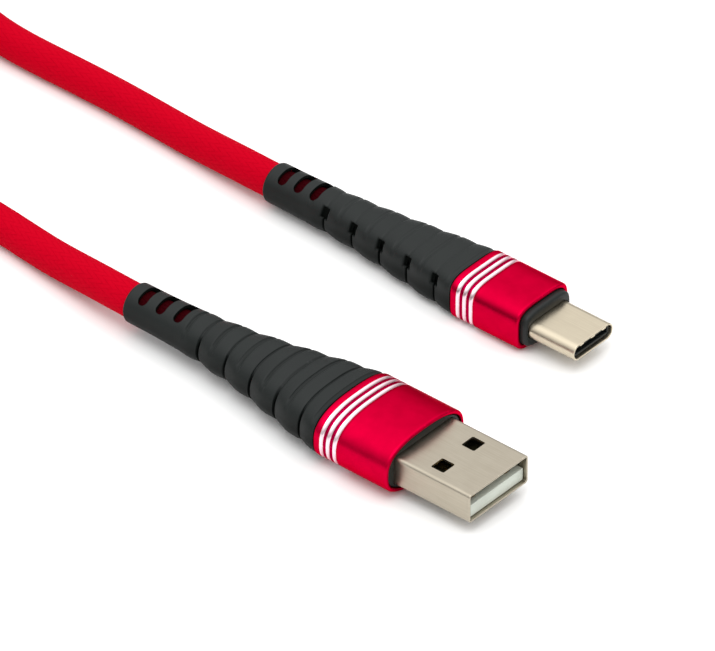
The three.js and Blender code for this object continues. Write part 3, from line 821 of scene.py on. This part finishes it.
# the collars: anodised sleeves with three bright cut bands near the rear edge
collarSizes = {
    "A": {"wall": 0.55, "rearRound": 0.25, "lipRound": 0.4, "lipInner": 0.16},
    "C": {"wall": 0.6, "rearRound": 0.25, "lipRound": 0.35, "lipInner": 0.14},
}
bandSizes = {"count": 3, "first": 1.1, "pitch": 1.15, "width": 0.62, "depth": 0.05}


def makeCollar(key):
    plug, sizes = plugs[key], collarSizes[key]
    count = 256
    width, height, power = plug["width"], plug["height"], plug["power"]
    rear, front = plug["collarRear"], plug["collarFront"]
    rings, slots = [], []

    def add(x, inset, slot=0):
        rings.append(ringAt(x, crowned(width - 2 * inset, height - 2 * inset, power, count)))
        slots.append(slot)

    for along, inset in quarter(6):
        add(rear + along * sizes["rearRound"], inset * sizes["rearRound"])
    for band in range(bandSizes["count"]):
        x = rear + bandSizes["first"] + band * bandSizes["pitch"]
        add(x, 0, 1)
        add(x + bandSizes["depth"], bandSizes["depth"], 1)
        add(x + bandSizes["width"] - bandSizes["depth"], bandSizes["depth"], 1)
        add(x + bandSizes["width"], 0, 2 if band < bandSizes["count"] - 1 else 0)
    afterBands = x + bandSizes["width"] + 0.4
    for x in np.linspace(afterBands, front - sizes["lipRound"] - 0.2, 10):
        add(x, 0)
    for along, inset in quarter(8, reverse=True):
        add(front - along * sizes["lipRound"], inset * sizes["lipRound"])
    wall, lip = sizes["wall"], sizes["lipInner"]
    for along, inset in quarter(5):
        add(front - along * lip, wall - inset * lip)
    add(front - 1, wall)
    add(rear + 0.1, wall)
    collar = ringLoft(plug["label"] + "Collar", rings, plug["axis"],
                      [finishes["red_aluminium"], finishes["brightBands"], finishes["deepAnodised"]], slots)
    softShading(collar.data, 50)
    return collar


# the shells: folded steel tubes with rolled front edges
shellSizes = {
    "A": {"width": 12, "height": 4.5, "corner": 0.5, "wall": 0.3, "count": 288, "slot": "steel",
          "window": {"x": -7, "y": 3.1, "length": 2.2, "width": 2.4, "corner": 0.22}},
    "C": {"width": 8.3, "height": 2.5, "corner": 1.2, "wall": 0.25, "count": 240, "slot": "pale_steel"},
}


def shellOutline(key, wider, count):  # the shell's outline, grown all round by half of wider
    sizes = shellSizes[key]
    return rounded(sizes["width"] + wider, sizes["height"] + wider, sizes["corner"] + wider / 2, count)


# the cores: black blocks that fill the collars and hold the shells
coreSizes = {"A": {"gap": 0.1, "edge": 0.3, "flare": 0.4, "flareDeep": 0.12},
             "C": {"gap": 0.1, "edge": 0.45, "flare": 0.4, "flareDeep": 0.12}}


def makeCore(key):
    plug, sizes = plugs[key], coreSizes[key]
    count = 240
    inset = collarSizes[key]["wall"] + sizes["gap"]
    width, height = plug["width"] - 2 * inset, plug["height"] - 2 * inset
    low, high = (v.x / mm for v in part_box(plug["prefix"] + "core"))
    rings = []
    for x in (low, high - 2, high - sizes["edge"] - 0.1):
        rings.append(ringAt(x, crowned(width, height, plug["power"], count)))
    for along, cutIn in quarter(7, reverse=True):
        d = cutIn * sizes["edge"]
        rings.append(ringAt(high - along * sizes["edge"],
                            crowned(width - 2 * d, height - 2 * d, plug["power"], count)))
    hole, mouth = (shellOutline(key, wider, count) for wider in (sizes["gap"], sizes["flare"]))
    rings += [ringAt(high, mouth), ringAt(high - sizes["flareDeep"], hole), ringAt(low, hole)]
    core = ringLoft(plug["label"] + "Core", rings, plug["axis"], [finishes["black_plastic"]])
    softShading(core.data, 50)
    return core


def windowCutter(x, y, window, axis):
    outline = rounded(window["length"], window["width"], window["corner"], 48)
    rings = []
    for z in (-4, 4):  # right through the plug
        rings.append(np.column_stack([x + outline[:, 0], y + outline[:, 1], np.full(len(outline), z)]))
    cutter = ringLoft("cutter", rings, axis, [], closed=False)
    closeEnds(cutter.data)
    return cutter


def makeShell(key):
    plug, sizes = plugs[key], shellSizes[key]
    width, height, corner, wall = (sizes[k] for k in ("width", "height", "corner", "wall"))
    count, tip, rear = sizes["count"], plug["tip"], plug["shellRear"]
    rings = []

    def add(x, inset):
        rings.append(ringAt(x, rounded(width - 2 * inset, height - 2 * inset,
                                       max(corner - inset, 0.15), count)))

    for x in np.linspace(rear, tip - 0.2, 14):
        add(x, 0)
    edge = wall * 0.45
    for along, inset in quarter(6, reverse=True):
        add(tip - along * edge, inset * edge)
    for along, inset in quarter(5):
        add(tip - along * edge * 0.8, wall - inset * edge * 0.8)
    for x in np.linspace(tip - 0.6, rear, 10):
        add(x, wall)
    shell = ringLoft(plug["label"] + "Shell", rings, plug["axis"], [finishes[sizes["slot"]]])
    if "window" in sizes:
        window = sizes["window"]
        for side in (-1, 1):
            cutter = windowCutter(tip + window["x"], side * window["y"], window, plug["axis"])
            cut = shell.modifiers.new("window", "BOOLEAN")
            cut.object = cutter
            cut.solver = "EXACT"
            shell = baked(shell, plug["label"] + "Shell")
            bpy.data.objects.remove(cutter)
    softShading(shell.data, 40)
    return shell


def refined(node, name, bevel):  # a CAD node's shape with its edges slightly broken
    mesh = frame["nodes"][node].data.copy()
    mesh.materials.clear()
    mesh.materials.append(finishes[slotOf[node]])
    work = bmesh.new()
    work.from_mesh(mesh)
    bmesh.ops.remove_doubles(work, verts=work.verts, dist=0.000001)
    bmesh.ops.dissolve_limit(work, angle_limit=0.02, verts=work.verts, edges=work.edges)
    work.to_mesh(mesh)
    work.free()
    piece = newPiece(name + "Blank", mesh)
    edges = piece.modifiers.new("brokenEdges", "BEVEL")
    edges.width = bevel * mm
    edges.segments = 2
    edges.angle_limit = math.radians(35)
    piece = baked(piece, name)
    softShading(piece.data, 40)
    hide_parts(node)
    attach(piece, bodyOf[node])
    return piece


for key, plug in plugs.items():
    for part, make in (("collar", makeCollar), ("core", makeCore), ("shell", makeShell)):
        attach(standFor(make(key), plug["prefix"] + part), plug["body"])
print("collars, cores and shells made")

crispParts = {
    "type_a_tongue": 0.12, "type_a_contact_power": 0.05, "type_a_contact_data_minus": 0.05,
    "type_a_contact_data_plus": 0.05, "type_a_contact_ground": 0.05, "type_c_insulator": 0.04,
    "type_c_latch_left": 0.04, "type_c_latch_right": 0.04,
}
for node, bevel in crispParts.items():
    words = node.split("_")
    refined(node, words[0] + words[1].upper() + "".join(w.title() for w in words[2:]), bevel)
print("contacts and tongues made")

# small sprung tabs of the ground springs, seen at the rim of type C's mouth
tabSizes = {"across": (-2.3, 0, 2.3), "wide": 0.8, "long": 1.1, "setBack": 0.06, "thick": 0.2, "rise": 0.98}


def makeTabs(sizes):
    plug = plugs["C"]
    y, z = plug["axis"]
    tabs = bmesh.new()
    front = plug["tip"] - sizes["setBack"]
    size = Vector((sizes["long"], sizes["wide"], sizes["thick"]))
    for across in sizes["across"]:
        centre = Vector((front - sizes["long"] / 2, y + across, z + sizes["rise"] - sizes["thick"] / 2))
        for vert in bmesh.ops.create_cube(tabs, size=1)["verts"]:
            vert.co = (centre + Vector(a * b for a, b in zip(vert.co, size))) * mm
    bmesh.ops.bevel(tabs, geom=tabs.edges[:], offset=0.04 * mm, segments=2, affect="EDGES", profile=0.5)
    mesh = bpy.data.meshes.new("tabs")
    tabs.to_mesh(mesh)
    tabs.free()
    mesh.materials.append(finishes["pale_steel"])
    softShading(mesh, 40)
    piece = newPiece("typeCMouthTabs", mesh)
    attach(piece, plug["body"])


makeTabs(tabSizes)

# the loop strap that holds the coil: one turn round the cord with its tail on top
strapSizes = {"wide": 8, "thick": 0.8, "near": 17.35, "far": 33.8, "low": 0.4, "high": 10.7, "corner": 2.2,
              "lap": 0.87, "tailFrom": 23, "tailTo": 29}


def makeStrap(sizes):
    near, far, low, high, r = (sizes[k] for k in ("near", "far", "low", "high", "corner"))
    top = high + sizes["lap"]
    start = sizes["tailFrom"]
    path = [(start, high), (start + 3, high), (far - r, high)]

    def bend(u, z, start):  # a quarter turn, clockwise
        for a in np.radians(np.linspace(start, start - 90, 9)):
            path.append((u + r * math.cos(a), z + r * math.sin(a)))

    bend(far - r, high - r, 90)
    bend(far - r, low + r, 0)
    bend(near + r, low + r, -90)
    bend(near + r, top - r, -180)
    path += [(start - 1, top), (start + 3, top), (sizes["tailTo"], top)]
    path = [p for k, p in enumerate(path) if not k or math.dist(p, path[k - 1]) > 0.01]
    profile = rounded(sizes["thick"], sizes["wide"], 0.3, 40)
    rings = []
    for k, (u, z) in enumerate(path):
        before, after = path[max(0, k - 1)], path[min(len(path) - 1, k + 1)]
        du, dz = after[0] - before[0], after[1] - before[1]
        long = math.hypot(du, dz)
        outward = (-dz / long, du / long)
        rings.append(np.column_stack([
            coilSizes["centre"][0] - u - outward[0] * profile[:, 0],
            coilSizes["centre"][1] + profile[:, 1],
            z + outward[1] * profile[:, 0]]))
    strap = ringLoft("loopStrap", rings, (0, 0), [finishes["strap"]], closed=False)
    closeEnds(strap.data)
    softShading(strap.data, 50)
    return strap


strap = standFor(makeStrap(strapSizes), "cable_tie")
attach(strap, "cord")
print("strap made")

# studio: a pale floor, a soft sky that is brighter overhead, and one wide lamp
studio = {"floorSize": 3, "horizon": 0.32, "zenith": 1.75, "lamp": 1.9, "lampSize": 0.5,
          "lampPlace": (0.1, -0.3, 0.9)}


def makeFloor(settings):
    half = settings["floorSize"] / 2
    mesh = bpy.data.meshes.new("floor")
    corners = [(-half, -half, 0), (half, -half, 0), (half, half, 0), (-half, half, 0)]
    mesh.from_pydata(corners, [], [(0, 1, 2, 3)])
    floor = newPiece("floor", mesh)
    material, tree, sockets = newFinish("studioFloor", Roughness=0.95, Specular_IOR_Level=0.0)
    grained = place(tree, grainGroup, Scale=300)
    feed(tree, sockets["Base Color"],
         blendColours(tree, grained["Drift"], (0.93, 0.93, 0.925, 1), (0.95, 0.95, 0.945, 1)))
    floor.data.materials.append(material)


def makeSky(settings):
    world = bpy.data.worlds.new("studioSky")
    world.use_nodes = True
    tree = world.node_tree
    rise = axesOf(tree, addNode(tree, "ShaderNodeTexCoord").outputs["Generated"])[2]
    strength = blendValues(tree, ease(tree, rise, 0.05, 1), settings["horizon"], settings["zenith"])
    shader = tree.nodes["Background"]
    shader.inputs["Color"].default_value = (1, 1, 1, 1)
    feed(tree, shader.inputs["Strength"], strength)
    scene.world = world


def makeLamp(settings):
    data = bpy.data.lights.new("wideLamp", "AREA")
    data.energy = settings["lamp"]
    data.size = settings["lampSize"]
    lamp = bpy.data.objects.new("wideLamp", data)
    lamp.location = settings["lampPlace"]
    lamp.rotation_euler = (-Vector(settings["lampPlace"])).to_track_quat("-Z", "Y").to_euler()
    scene.collection.objects.link(lamp)


makeFloor(studio)
makeSky(studio)
makeLamp(studio)
scene.view_settings.view_transform = "Standard"
print("studio made")
